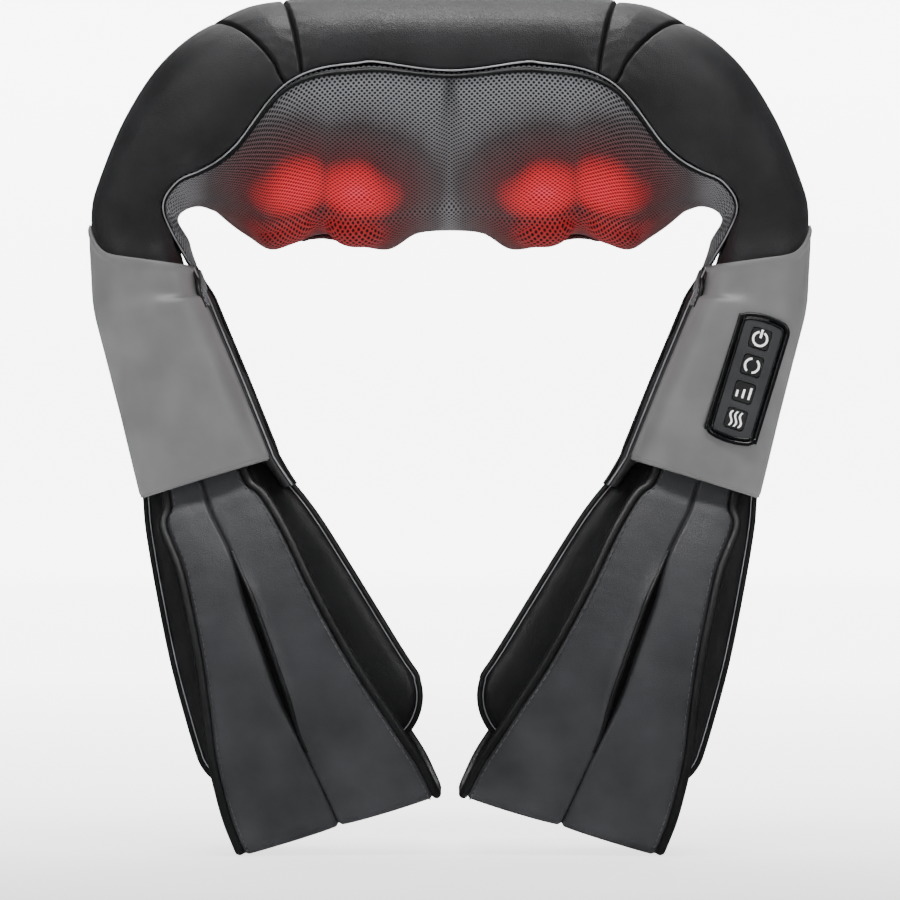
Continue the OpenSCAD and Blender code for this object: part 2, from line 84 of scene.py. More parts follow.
def spline(table, i, t):
    """Smooth values (Catmull-Rom) between rows i + 1 and i + 2 of a table."""
    a, b, c, d = (table[i + k] for k in range(4))
    return 0.5 * (2 * b + (c - a) * t + (2 * a - 5 * b + 4 * c - d) * t * t + (3 * b - a - 3 * c + d) * t ** 3)


def length_so_far(path):
    return np.concatenate([[0], np.cumsum(np.linalg.norm(np.diff(path, axis=0), axis=1))])


def section(s):
    """Interpolated section values at each station number in s, mirrored in x for a negative one."""
    s = np.asarray(s, float)
    flip = np.array([-1, 1, -1, 1, 1, 1, 1, 1.0])
    table = np.vstack([STATIONS[1] * flip, STATIONS, STATIONS[-1], STATIONS[-1]])
    i = np.floor(np.abs(s)).astype(int)
    v = spline(table, i, (np.abs(s) - i)[..., None])
    return np.where((s < 0)[..., None], v * flip, v)


def skin(s, angle, out=0.0):
    """Points of the collar's surface in mm, moved outwards by out."""
    v = section(s)
    angle = np.radians(angle)
    c = power(np.cos(angle), 2 / COLLAR_POWER)
    u = power(np.sin(angle), 2 / COLLAR_POWER)
    slant = v[..., 6]
    flat = np.sqrt(1 - slant ** 2)
    m = COLLAR_POWER / (COLLAR_POWER - 1)
    reach = (flat ** m + np.abs(slant) ** m) ** (1 / m)
    outer, inner = v[..., 0:2], v[..., 2:4]
    half = np.linalg.norm(outer - inner, axis=-1) / 2
    across = (flat * u - slant * c) / reach * (half + out)
    xz = (outer + inner) / 2 + (outer - inner) / (2 * half[..., None]) * across[..., None]
    return np.stack([xz[..., 0], v[..., 4] + c * (v[..., 5] + out), xz[..., 1]], -1)


def mesh_front(s):
    return section(s)[..., 7]


def mesh_back(s):
    return 540 - section(s)[..., 7]


def mix(a, b, t):
    return a + (b - a) * t


def seam(ends, angle):
    return mix(ends[0], ends[1], np.minimum(1, np.abs(angle - 90) / 93))


def smooth(low, high, x):
    t = np.clip((x - low) / (high - low), 0, 1)
    return t * t * (3 - 2 * t)


def to_head(p):
    q = p - HEAD_ORIGIN
    a = math.pi / 2 + HEAD_TILT
    return np.stack([q[..., 0], q[..., 1] * math.cos(a) + q[..., 2] * math.sin(a),
                     q[..., 2] * math.cos(a) - q[..., 1] * math.sin(a)], -1)


def from_head(h):
    a = math.pi / 2 + HEAD_TILT
    return np.stack([h[..., 0], h[..., 1] * math.cos(a) - h[..., 2] * math.sin(a),
                     h[..., 1] * math.sin(a) + h[..., 2] * math.cos(a)], -1) + HEAD_ORIGIN


def node_places():
    """Centres of the eight nodes at rest, in the heads' frame."""
    found = []
    for side in (-1, 1):
        for k in range(4):
            a = math.radians(side * (REST_TURN + 90 * k))
            found.append((side * HEAD_X + ORBIT * math.cos(a), HEAD_Y + ORBIT * math.sin(a), DOME_Z))
    return np.array(found)


def arm_point(side, x, y, z):
    """A point of an arm's own frame, with x towards its outside and z up along it, in the row frame."""
    x, y, z = np.broadcast_arrays(np.asarray(x, float), y, z)
    c, s = math.cos(ARM_LEAN), math.sin(ARM_LEAN)
    return np.stack([side * (ARM_ORIGIN[0] + x * c + z * s), y, ARM_ORIGIN[1] - x * s + z * c], -1)


def to_arm(side, p):
    """The x and z of points in an arm's own frame."""
    c, s = math.cos(ARM_LEAN), math.sin(ARM_LEAN)
    dx, dz = side * p[..., 0] - ARM_ORIGIN[0], p[..., 2] - ARM_ORIGIN[1]
    return dx * c - dz * s, dx * s + dz * c


def through(points, count):
    """A smooth line through a few points (Catmull-Rom), as count points evenly spaced in length."""
    p = np.asarray(points, float)
    ends = np.vstack([2 * p[0] - p[1], p, 2 * p[-1] - p[-2]])
    t = np.linspace(0, len(p) - 1 - 1e-9, max(40 * len(p), 200))
    i = t.astype(int)
    line = spline(ends, i, (t - i)[:, None])
    along = length_so_far(line)
    at = np.linspace(0, along[-1], count)
    return np.stack([np.interp(at, along, line[:, k]) for k in range(line.shape[1])], 1)


# ---------------------------------------------------------------- mesh making

def new_object(name, vertices, faces, uv=None):
    """A smooth mesh object from points in mm, with uv per vertex in metres."""
    mesh = bpy.data.meshes.new(name)
    mesh.from_pydata((np.asarray(vertices) * MM).tolist(), [], faces)
    mesh.validate()
    mesh.shade_smooth()
    if uv is not None:
        layer = mesh.uv_layers.new(name="weave")
        corner = np.zeros(len(mesh.loops), np.int32)
        mesh.loops.foreach_get("vertex_index", corner)
        layer.data.foreach_set("uv", np.asarray(uv, np.float32)[corner].ravel())
    piece = bpy.data.objects.new(name, mesh)
    bpy.context.scene.collection.objects.link(piece)
    return piece


def grid_faces(rows, cols, wrap=False, flip=False):
    faces = []
    for i in range(rows - 1):
        for j in range(cols if wrap else cols - 1):
            k = (j + 1) % cols
            face = (i * cols + j, i * cols + k, (i + 1) * cols + k, (i + 1) * cols + j)
            faces.append(face[::-1] if flip else face)
    return faces


def surface(name, points, flip=False, uv=None, wrap=False):
    rows, cols = points.shape[:2]
    flat_uv = None if uv is None else uv.reshape(-1, 2)
    return new_object(name, points.reshape(-1, 3), grid_faces(rows, cols, wrap, flip), flat_uv)


def normals(points, flip=False):
    """Unit normals of a grid of points."""
    du = np.gradient(points, axis=0)
    dv = np.gradient(points, axis=1)
    n = np.cross(du, dv)
    n /= np.maximum(np.linalg.norm(n, axis=-1, keepdims=True), 1e-9)
    return -n if flip else n


def lengths(points, axis):
    """Distance of each grid point from the grid's first and last line along an axis, in mm."""
    step = np.linalg.norm(np.diff(points, axis=axis), axis=-1)
    zero = np.zeros_like(np.take(step, [0], axis=axis))
    run = np.concatenate([zero, np.cumsum(step, axis=axis)], axis=axis)
    total = np.take(run, [-1], axis=axis)
    return run, total - run


def thicken(piece, thick):
    """Gives a sheet its thickness, on the side away from its normals."""
    m = piece.modifiers.new("thickness", "SOLIDIFY")
    m.thickness = thick * MM
    m.offset = -1
    m.use_even_offset = False
    return piece


def frames_along(path):
    """Tangent and two side directions at each point of a path, without sudden turns."""
    d = np.gradient(path, axis=0)
    d /= np.linalg.norm(d, axis=1, keepdims=True)
    side = np.cross(d[0], (0, 1, 0))
    if np.linalg.norm(side) < 0.2:
        side = np.cross(d[0], (0, 0, 1))
    a = [side / np.linalg.norm(side)]
    for t in d[1:]:
        v = a[-1] - t * (a[-1] @ t)
        a.append(v / np.linalg.norm(v))
    a = np.array(a)
    return d, a, np.cross(d, a)


def tube(name, path, radius, sides=10, closed=False):
    """A round tube along a path, with closed ends."""
    path = np.asarray(path, float)
    _, a, b = frames_along(path)
    turn = np.linspace(0, 2 * math.pi, sides, endpoint=False)
    rings = (path[:, None] + radius * (a[:, None] * np.cos(turn)[None, :, None]
                                       + b[:, None] * np.sin(turn)[None, :, None]))
    n = len(path)
    faces = grid_faces(n, sides, wrap=True)
    if closed:
        last = (n - 1) * sides
        faces += [(last + j, last + (j + 1) % sides, (j + 1) % sides, j) for j in range(sides)]
    else:
        faces.append(tuple(range(sides))[::-1])
        faces.append(tuple((n - 1) * sides + j for j in range(sides)))
    return new_object(name, rings.reshape(-1, 3), faces)


def stitches(name, path, normal, length=3.0, gap=1.3, radius=0.32, sink=0.1):
    """A row of short threads along a path, as one piece."""
    path = np.asarray(path, float)
    run = length_so_far(path)
    normal = np.broadcast_to(np.asarray(normal, float), path.shape)
    vertices, faces = [], []
    ring = 5
    turn = np.linspace(0, 2 * math.pi, ring, endpoint=False)
    for start in np.arange(gap, run[-1] - length, length + gap):
        at = np.linspace(start, start + length, 5)
        line = np.stack([np.interp(at, run, path[:, k]) for k in range(3)], 1)
        up = np.stack([np.interp(at, run, normal[:, k]) for k in range(3)], 1)
        lift = np.array([-0.5, 0.7, 1, 0.7, -0.5]) * radius - sink
        line = line + up * lift[:, None]
        d = line[-1] - line[0]
        d = d / np.linalg.norm(d)
        base = len(vertices)
        for p, u in zip(line, up):
            w = np.cross(d, u)
            vertices += [p + radius * (w * math.cos(t) + u * math.sin(t)) for t in turn]
        faces += [tuple(base + k for k in f) for f in grid_faces(5, ring, wrap=True)]
        faces += [tuple(base + j for j in range(ring))[::-1],
                  tuple(base + 4 * ring + j for j in range(ring))]
    return new_object(name, vertices, faces)


def put(piece, body, material, replaces=()):
    """Gives a piece its material and the body that it rides on."""
    piece.data.materials.clear()
    piece.data.materials.append(material)
    if replaces:
        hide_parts(*replaces)
    if body:
        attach(piece, body)
    return piece


def blend_arm(piece, material, replaces=()):
    """The same for a soft piece that crosses a shoulder's flex axis."""
    put(piece, None, material, replaces)
    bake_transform(piece)
    return piece


def word(side):
    return "left" if side < 0 else "right"


def arm_name(side):
    return "arm_" + word(side)


# ---------------------------------------------------------------- materials

def linear(code):
    """Linear colour from a hex code."""
    parts = [int(code[k:k + 2], 16) / 255 for k in (1, 3, 5)]
    return tuple(c / 12.92 if c <= 0.04045 else ((c + 0.055) / 1.055) ** 2.4 for c in parts) + (1,)


def node(tree, kind, inputs=(), **settings):
    """A shader node with its settings, and its inputs as values or links."""
    n = tree.nodes.new("ShaderNode" + kind)
    for key, value in settings.items():
        setattr(n, key, value)
    for key, value in dict(inputs).items():
        if isinstance(value, bpy.types.NodeSocket):
            tree.links.new(value, n.inputs[key])
        else:
            n.inputs[key].default_value = value
    return n


def plain_shader(name, colour, rough, **sockets):
    material = bpy.data.materials.new(name)
    material.use_nodes = True
    tree = material.node_tree
    bsdf = tree.nodes["Principled BSDF"]
    bsdf.inputs["Base Color"].default_value = linear(colour)
    bsdf.inputs["Roughness"].default_value = rough
    for key, value in sockets.items():
        bsdf.inputs[key.replace("_", " ")].default_value = value
    return material, tree, bsdf


def ramp(tree, value, stops):
    r = node(tree, "ValToRGB", {"Fac": value})
    elements = r.color_ramp.elements
    while len(elements) < len(stops):
        elements.new(0.5)
    for e, (at, colour) in zip(elements, stops):
        e.position = at
        e.color = linear(colour) if isinstance(colour, str) else (colour,) * 3 + (1,)
    return r.outputs["Color"]


def place_of(tree):
    return node(tree, "TexCoord").outputs["Object"]


def noise(tree, scale, detail=3.0):
    return node(tree, "TexNoise", {"Vector": place_of(tree), "Scale": scale, "Detail": detail}).outputs["Fac"]


def leather_material(name, dark, light, rough, grain=1050, depth=0.00011):
    """Pebbled leather: closed cells about a millimetre across, and slow changes of tone and gloss."""
    material, tree, bsdf = plain_shader(name, dark, rough, Specular_IOR_Level=0.5)
    tone = ramp(tree, noise(tree, 34, 4), [(0.3, dark), (0.72, light)])
    cells = node(tree, "TexVoronoi", {"Vector": place_of(tree), "Scale": grain, "Randomness": 0.85},
                 feature="DISTANCE_TO_EDGE").outputs["Distance"]
    pebble = ramp(tree, cells, [(0.0, 0.0), (0.28, 1.0)])
    # Painted shade: the colour is darkened a little in the grooves between the pebbles.
    painted_groove_shade = node(tree, "Mix", {0: 0.22, 6: tone, 7: ramp(tree, cells, [(0.0, dark), (0.2, light)])},
                data_type="RGBA", blend_type="MULTIPLY")
    tree.links.new(painted_groove_shade.outputs[2], bsdf.inputs["Base Color"])
    gloss = node(tree, "MapRange", {"Value": noise(tree, 90, 2), "To Min": rough - 0.06, "To Max": rough + 0.07})
    tree.links.new(gloss.outputs["Result"], bsdf.inputs["Roughness"])
    fine = node(tree, "Bump", {"Strength": 0.55, "Distance": depth, "Height": pebble})
    soft = node(tree, "Bump", {"Strength": 0.35, "Distance": 0.0006, "Height": noise(tree, 120, 3),
                               "Normal": fine.outputs["Normal"]})
    tree.links.new(soft.outputs["Normal"], bsdf.inputs["Normal"])
    return material


def moulded_material(name, colour, light, rough, grain=2600, depth=0.00004, **sockets):
    """Moulded plastic, rubber or metal with a fine texture."""
    material, tree, bsdf = plain_shader(name, colour, rough, **sockets)
    tree.links.new(ramp(tree, noise(tree, 45, 2), [(0.3, colour), (0.7, light)]), bsdf.inputs["Base Color"])
    gloss = node(tree, "MapRange", {"Value": noise(tree, 160, 2), "To Min": rough - 0.04, "To Max": rough + 0.05})
    tree.links.new(gloss.outputs["Result"], bsdf.inputs["Roughness"])
    bump = node(tree, "Bump", {"Strength": 0.5, "Distance": depth, "Height": noise(tree, grain, 1)})
    tree.links.new(bump.outputs["Normal"], bsdf.inputs["Normal"])
    return material


DOT_ACROSS, DOT_DOWN = 2.9, 3.3


def vector_math(tree, operation, *values, output=0):
    return node(tree, "VectorMath", dict(enumerate(values)), operation=operation).outputs[output]


def blended(tree, share, low, high, how="MIX"):
    return node(tree, "Mix", {0: share, 6: low, 7: high}, data_type="RGBA", blend_type=how).outputs[2]


def mesh_material():
    """Air mesh: grey threads round staggered holes, with the red light of the nodes behind it painted on as
    emission where its glow is set, and as a red spill painted into its colour.
    """
    material, tree, bsdf = plain_shader("air_mesh", "#76777a", 0.72, Specular_IOR_Level=0.3)
    weave = node(tree, "UVMap", uv_map="weave").outputs["UV"]
    scaled = vector_math(tree, "MULTIPLY", weave, (1000 / DOT_ACROSS, 1000 / DOT_DOWN, 0))
    reach = []
    for shift in (0.0, 0.5):
        part = vector_math(tree, "FRACTION", vector_math(tree, "ADD", scaled, (shift, shift, 0)))
        centred = vector_math(tree, "SUBTRACT", part, (0.5, 0.5, 0))
        sized = vector_math(tree, "MULTIPLY", centred, (DOT_ACROSS, DOT_DOWN, 0))
        reach.append(vector_math(tree, "LENGTH", sized, output="Value"))
    near = node(tree, "Math", {0: reach[0], 1: reach[1]}, operation="MINIMUM").outputs[0]
    thread = node(tree, "MapRange", {"Value": near, "From Min": 0.6, "From Max": 0.92}).outputs["Result"]
    glow = node(tree, "Attribute", attribute_name="glow").outputs["Fac"]
    # Painted light: the yarn's grey turns dark red where the nodes' red light spills on, painted into its colour.
    painted_red_spill = node(tree, "Attribute", attribute_name="painted_red_spill").outputs["Fac"]
    yarn = ramp(tree, painted_red_spill, [(0.0, "#737477"), (0.35, "#4b4345"), (1.0, "#5e1c1e")])
    knit = blended(tree, noise(tree, 1500, 1), (0.72, 0.72, 0.72, 1), (1.15, 1.15, 1.15, 1))
    yarn = blended(tree, 1.0, yarn, knit, "MULTIPLY")
    colour = blended(tree, thread, linear("#0d0d0f"), yarn)
    tree.links.new(colour, bsdf.inputs["Base Color"])
    # Painted light: the nodes' red glow through the fabric is painted on as emission, bright on the threads and
    # dimmer in the holes.
    shine = ramp(tree, glow, [(0.0, "#000000"), (0.14, "#240001"), (0.36, "#a80004"), (0.6, "#e0001a"),
                              (0.82, "#f2082e"), (1.0, "#ff4466")])
    holes = ramp(tree, glow, [(0.0, "#000000"), (0.3, "#200001"), (0.6, "#6a0004"), (1.0, "#9c0008")])
    tree.links.new(blended(tree, thread, holes, shine), bsdf.inputs["Emission Color"])
    bsdf.inputs["Emission Strength"].default_value = 0.95
    bump = node(tree, "Bump", {"Strength": 0.8, "Distance": 0.0004, "Height": thread})
    tree.links.new(bump.outputs["Normal"], bsdf.inputs["Normal"])
    return material


BLACK_LEATHER = leather_material("black_leather", "#202022", "#2c2c2e", 0.42)
# The collar's black leather again, painted lighter to stand in for the light that the straps catch.
STRAP_LEATHER_PAINTED_LIGHTER = leather_material("strap_leather", "#2a2b2e", "#37383b", 0.42, 1300)
TONGUE_LEATHER = leather_material("tongue_leather", "#131416", "#1d1e20", 0.36, 1100)
ROLLED_LEATHER = leather_material("rolled_edge", "#0e0f10", "#18191b", 0.38, 1400)
MESH = mesh_material()
SILVER = moulded_material("bright_piping", "#7c7d80", "#a2a3a6", 0.32, Metallic=0.25)
THREAD = moulded_material("thread", "#2a2b2e", "#4a4b4f", 0.6, 5000)
GREY = moulded_material("sleeve_grey", "#5f5f60", "#69696a", 0.46)
GLOSS_BLACK = moulded_material("gloss_black", "#08090a", "#101113", 0.22)
PLATE = moulded_material("panel_plate", "#2a2b2d", "#333436", 0.5, 3500)
KEY = moulded_material("key_rubber", "#111214", "#191a1c", 0.62, 3800)
# White print, given a faint painted glow by its emission.
WHITE = moulded_material("icon_white", "#f2f2f2", "#ffffff", 0.4, Emission_Color=(1, 1, 1, 1),
                         Emission_Strength=0.35)
FOAM = moulded_material("foam", "#cfc59c", "#ddd4b0", 0.9, 700, 0.0006)
HOUSING = moulded_material("moulding", "#34363b", "#42444a", 0.48)
STEEL = moulded_material("steel", "#a9adb2", "#c6c9cd", 0.28, 900, Metallic=1.0)
ACETAL = moulded_material("gear_plastic", "#d9d4c2", "#ece8da", 0.42)
BRASS = moulded_material("brass", "#b88e3c", "#d4ab58", 0.3, 900, Metallic=1.0)
NODE_RED = moulded_material("node_red", "#c92a24", "#e8463c", 0.3, Transmission_Weight=0.25)
BOARD = moulded_material("circuit_board", "#1f5a2c", "#2f7a3e", 0.4, 1800)
WIRE = moulded_material("wire", "#7d231f", "#a3352f", 0.45)
SILICONE = moulded_material("silicone", "#bcbcc0", "#d0d0d4", 0.6)
INLET = moulded_material("inlet_black", "#0c0d0e", "#17181a", 0.35)


def pair(*names):
    return [f"{name}_{side}" for name in names for side in ("left", "right")]


CAD_MATERIALS = [
    (FOAM, ["collar_foam"] + pair("shoulder_foam", "arm_core")),
    (HOUSING, ["chassis", "gearbox_base", "gearbox_cover", "key_housing"] + pair("rotor_arm")),
    (STEEL, ["chassis_screws", "motor", "motor_bracket", "drive_shaft", "dc_inlet_pin"] + pair("output_shaft")),
    (BRASS, pair("worm", "bush")),
    (ACETAL, pair("worm_wheel")),
    (NODE_RED, pair("large_nodes", "small_nodes")),
    (BOARD, ["key_board"] + pair("heater_board")),
    (WIRE, ["wiring"]),
    (SILICONE, ["key_mat"]),
    (KEY, ["key_power", "key_direction", "key_intensity", "key_heat"]),
    (INLET, ["dc_inlet"])]


def dress_frame():
    for material, names in CAD_MATERIALS:
        for name in names:
            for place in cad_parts[name].material_slots:
                place.material = material


# ---------------------------------------------------------------- camera, light and floor

VIEW_WIDTH, VIEW_MIDDLE, LENS, SENSOR = 495, 222.75, 200, 36
FRONT_Y = -30  # the plane that the view's width is measured in
FLOOR_REACH, WALL_START, WALL_BEND, WALL_TOP = 6500, 5400, 900, 8000
# Name, place, target, width and height in metres, and power in watts.
LAMPS = [("overhead", (0, 0.3, 1.6), (0, 0, 0.4), (1.9, 0.4), 14),
         ("front_high", (0, -1.15, 2.7), (0, 0, 0.25), (1.5, 0.5), 78),
         ("front_left", (-1.5, -1.9, 1.3), (0, 0, 0.25), (0.35, 1.0), 12),
         ("front_right", (1.5, -1.9, 1.3), (0, 0, 0.25), (0.35, 1.0), 12),
         ("back", (0, 1.9, 1.7), (0, 0, 0.25), (1.8, 0.9), 10)]


def studio():
    """Camera, five soft lamps, and a pale floor that bends up into a wall and brightens with distance."""
    camera = bpy.data.objects.new("camera", bpy.data.cameras.new("camera"))
    camera.data.lens = LENS
    camera.data.sensor_width = SENSOR
    camera.location = (0, (FRONT_Y - VIEW_WIDTH * LENS / SENSOR) * MM, VIEW_MIDDLE * MM)
    camera.rotation_euler = (math.pi / 2, 0, 0)
    bpy.context.scene.collection.objects.link(camera)
    bpy.context.scene.camera = camera
    for name, place, target, size, power_w in LAMPS:
        lamp = bpy.data.objects.new(name, bpy.data.lights.new(name, "AREA"))
        lamp.data.shape = "RECTANGLE"
        lamp.data.size, lamp.data.size_y = size
        lamp.data.energy = power_w
        lamp.location = place
        lamp.rotation_euler = (Vector(target) - Vector(place)).to_track_quat("-Z", "Y").to_euler()
        bpy.context.scene.collection.objects.link(lamp)
    world = bpy.data.worlds.new("studio")
    world.use_nodes = True
    world.node_tree.nodes["Background"].inputs["Color"].default_value = (1, 1, 1, 1)
    world.node_tree.nodes["Background"].inputs["Strength"].default_value = 0.05
    bpy.context.scene.world = world
    profile = [(y, 0) for y in range(-FLOOR_REACH, WALL_START + 1, 100)]
    profile += [(WALL_START + WALL_BEND * math.sin(a), WALL_BEND - WALL_BEND * math.cos(a))
                for a in np.linspace(0, math.pi / 2, 16)[1:]]
    profile += [(WALL_START + WALL_BEND, WALL_TOP)]
    floor = np.array([[(x, y, z - 0.05) for x in (-FLOOR_REACH, FLOOR_REACH)] for y, z in profile], float)
    stage = surface("studio_floor", floor, flip=True)
    material, tree, bsdf = plain_shader("pale_floor", "#f4f4f4", 0.14, Specular_IOR_Level=0.35)
    far = node(tree, "SeparateXYZ", {0: place_of(tree)}).outputs["Y"]
    lit = node(tree, "MapRange", {"Value": far, "From Min": -0.7, "From Max": 2.2}).outputs["Result"]
    brighter = ramp(tree, lit, [(0.0, 0.0), (0.12, 0.22), (0.4, 0.6), (1.0, 1.0)])
    tree.links.new(brighter, bsdf.inputs["Emission Color"])
    bsdf.inputs["Emission Strength"].default_value = 5.5
    stage.data.materials.append(material)
    stage.visible_glossy = False  # or the dark leather mirrors the white wall


# ---------------------------------------------------------------- collar

def crowded(n, ends=0.65):
    """Values from 0 to 1, closer together at both ends."""
    t = np.linspace(0, 1, n)
    return mix(t, 0.5 - 0.5 * np.cos(math.pi * t), ends)


LEATHER_T, CROWN, GROOVE = 2.0, 1.9, 2.3


def panel(name, low, high, rows, cols, open_low=False, open_high=False, phase=0.0):
    """A crowned leather panel between two seams, from the mesh's rear edge over the top to its front edge."""
    v = crowded(cols)
    nominal = mix(-3, 183, v)[None, :]
    s = mix(seam(low, nominal), seam(high, nominal), crowded(rows)[:, None])
    angle = mix(mesh_back(s) - 360, mesh_front(s), v[None, :])
    flat = skin(s, angle)
    from_low, from_high = lengths(flat, 0)
    from_back, from_front = lengths(flat, 1)
    seams = [far for far, is_open in ((from_low, open_low), (from_high, open_high)) if not is_open]
    near_seam = np.minimum.reduce(seams)
    edge = np.minimum.reduce([from_back, from_front] + seams)
    pucker = np.sin(from_back / 1.45 + phase + 1.9 * np.sin(from_back / 17)) * np.exp(-near_seam / 4.5)
    slack = np.sin(from_back / 6.3 + phase * 2 + np.sin(from_back / 23)) * np.exp(-near_seam / 15)
    hem = np.sin(from_low / 1.6 + 2 * np.sin(from_low / 19)) * np.exp(-from_front / 3.5)
    into_sleeve = smooth(6.5, 7.3, np.abs(s))
    tucked = 0.5 * smooth(7.3, 7.8, np.abs(s))
    out = (CROWN * (1 - np.exp(-edge / 13)) * (1 - into_sleeve) - tucked - GROOVE * np.exp(-(edge / 0.95) ** 2)
           + 0.16 * pucker * (1 - np.exp(-(near_seam / 1.5) ** 2)) + 0.3 * slack * (1 - into_sleeve) + 0.1 * hem)
    piece = surface(name, skin(s, angle, out))
    return thicken(piece, LEATHER_T)


def make_collar():
    centre = panel("centre_leather", (-INNER_SEAM[0], -INNER_SEAM[1]), INNER_SEAM, 170, 210)
    put(centre, "collar", BLACK_LEATHER, ["centre_panel"])
    for side in (-1, 1):
        inner = tuple(side * s for s in INNER_SEAM)
        outer = tuple(side * s for s in OUTER_SEAM)
        ends = (side * 8.6, side * 8.6)
        if side > 0:
            gusset = panel("gusset_leather_right", inner, outer, 60, 200, phase=1.3)
            shoulder = panel("shoulder_leather_right", outer, ends, 190, 190, open_high=True, phase=0.4)
        else:
            gusset = panel("gusset_leather_left", outer, inner, 60, 200, phase=2.1)
            shoulder = panel("shoulder_leather_left", ends, outer, 190, 190, open_low=True, phase=3.0)
        put(gusset, "collar", BLACK_LEATHER, ["gusset_" + word(side)])
        blend_arm(shoulder, BLACK_LEATHER,
                  ["shoulder_" + word(side), "shoulder_foam_" + word(side)])


COVER_END, COVER_INSET = 6.0, 0.4
FOLD_TOP, GATHERS = 424, 13
NODE_CLEAR = NODE_R + 2.2
TENT_SLOPE = math.radians(36)


def shape_cover(s, angle):
    """The mesh cover over the eight nodes: it lies on the collar's surface and is drawn out over each node."""
    base = skin(s, angle, -0.5)
    h = to_head(base)
    need = np.full(h.shape[:2], -1e9)
    rim_q, rim_z = NODE_CLEAR * math.sin(TENT_SLOPE), NODE_CLEAR * math.cos(TENT_SLOPE)
    for x, y, z in node_places():
        q = np.hypot(h[..., 0] - x, h[..., 1] - y)
        dome = np.sqrt(np.maximum(NODE_CLEAR ** 2 - q ** 2, 0))
        tent = rim_z - (q - rim_q) * math.tan(TENT_SLOPE)
        need = np.maximum(need, z + np.where(q < rim_q, dome, tent))
    reach = h[..., 2] > 0
    lift = np.where(reach, np.maximum(0, need - h[..., 2]), 0)
    for _ in range(60):
        wide = np.pad(lift, 1, mode="edge")
        lift = (wide[2:, 1:-1] + wide[:-2, 1:-1] + wide[1:-1, 2:] + wide[1:-1, :-2]) / 4
        lift[:, [0, -1]] = 0
        lift[[0, -1]] = 0
    return clear_of_nodes(from_head(np.stack([h[..., 0], h[..., 1], h[..., 2] + lift], -1)))


def glow_at(points):
    """How brightly the lit nodes shine through, for the painted glow, and how far their painted red spill
    reaches.
    """
    centres = from_head(node_places())
    glow = np.zeros(points.shape[:2])
    painted_red_spill = np.zeros(points.shape[:2])
    for h, c in zip(node_places(), centres):
        front = h[1] > HEAD_Y
        q = points - c
        far = np.linalg.norm(q * (1.0, 0.72, 1.0), axis=-1)
        bright = 1.0 if front else 0.34
        glow = np.maximum(glow, bright * (1 - smooth(11, 35, far)))
        painted_red_spill = np.maximum(painted_red_spill, 1 - smooth(12, 62, far))
    return glow, painted_red_spill


def make_cover():
    rows, cols = 401, 151
    s = np.linspace(-COVER_END, COVER_END, rows)[:, None]
    v = np.linspace(0, 1, cols)[None, :]
    angle = mix(mesh_front(s) + COVER_INSET, mesh_back(s) - COVER_INSET, v)
    p = shape_cover(s, angle)
    n = normals(p, flip=True)
    x, z = p[..., 0], p[..., 2]
    front = smooth(0.2, -0.35, n[..., 1])
    under = smooth(0.15, 0.8, -n[..., 2])
    # The fold that gathers the middle, with creases that fan out from it.
    down = np.maximum(0, FOLD_TOP - z)
    fold = 6.5 * np.exp(-(x / (2.6 + 0.07 * down)) ** 2) * (1 - smooth(38, 84, down)) * front
    fan = np.arctan2(x, down + 6)
    creases = 0.8 * np.cos(21 * fan) * np.exp(-np.hypot(x, down) / 44) * front * smooth(3, 16, down)
    # Valleys between the nodes, fullness beside them, and gathers where the cover narrows to its tips.
    valley = 5.2 * np.exp(-((np.abs(x) - 71) / 11) ** 2) * under
    spread = 4.0 * (np.exp(-((np.abs(x) - 101) / 9) ** 2) + np.exp(-((np.abs(x) - 35) / 10) ** 2)) * under
    tip = smooth(4.3, 5.6, np.abs(s))
    gather = (0.42 * np.sin(2 * math.pi * GATHERS * v + 1.2 * np.sin(3 * s)) * tip
              * smooth(0, 0.06, v) * smooth(1, 0.94, v))
    edge = np.minimum(*lengths(p, 1))
    tuck = 1.6 * np.exp(-(edge / 1.8) ** 2)
    p = p + n * (creases + gather + spread - fold - valley - tuck)[..., None]
    p = clear_of_nodes(p)
    run = np.linalg.norm(np.diff(p, axis=0), axis=-1).mean(axis=1)
    u = np.concatenate([[0], np.cumsum(run)])[:, None]
    total = np.linalg.norm(np.diff(p, axis=1), axis=-1).sum(axis=1)
    wide = total.max() * (total / total.max()) ** 0.5
    uv = np.stack(np.broadcast_arrays(u, v * wide[:, None]), -1) * MM
    cover = surface("mesh_cover_fabric", p, uv=uv)
    # Painted light: the glow and the red spill are stored on the fabric for its material, the spill raised a
    # little where the cover faces down.
    glow, painted_red_spill = glow_at(p)
    for name, value in (("glow", glow), ("painted_red_spill", np.clip(painted_red_spill + 0.12 * under, 0, 1))):
        layer = cover.data.attributes.new(name, "FLOAT", "POINT")
        layer.data.foreach_set("value", value.ravel().astype(np.float32))
    put(cover, "collar", MESH, ["mesh_cover"])
    return thicken(cover, 1.2)


def clear_of_nodes(p):
    """Points, moved out of the space round each node."""
    for c in from_head(node_places()):
        away = p - c
        far = np.linalg.norm(away, axis=-1, keepdims=True)
        p = np.where(far < NODE_CLEAR, c + away / np.maximum(far, 1e-6) * NODE_CLEAR, p)
    return p


ROLL_TURN = 2.2  # degrees from a mesh edge to the dark roll beside it


def make_piping():
    """Bright piping and a dark roll along both edges of the mesh."""
    s = np.linspace(-COVER_END, COVER_END, 500)
    for end, name, turn_by in ((mesh_front, "front", 1), (mesh_back, "rear", -1)):
        line = skin(s, end(s), 0.5)
        roll = skin(s, end(s) + ROLL_TURN * turn_by, 0.0)
        put(tube("bright_piping_" + name, line, 0.45, 10), "collar", SILVER,
            ["mesh_piping"] if name == "front" else [])
        put(tube("piping_roll_" + name, roll, 1.3, 10), "collar", ROLLED_LEATHER)


# ---------------------------------------------------------------- arms

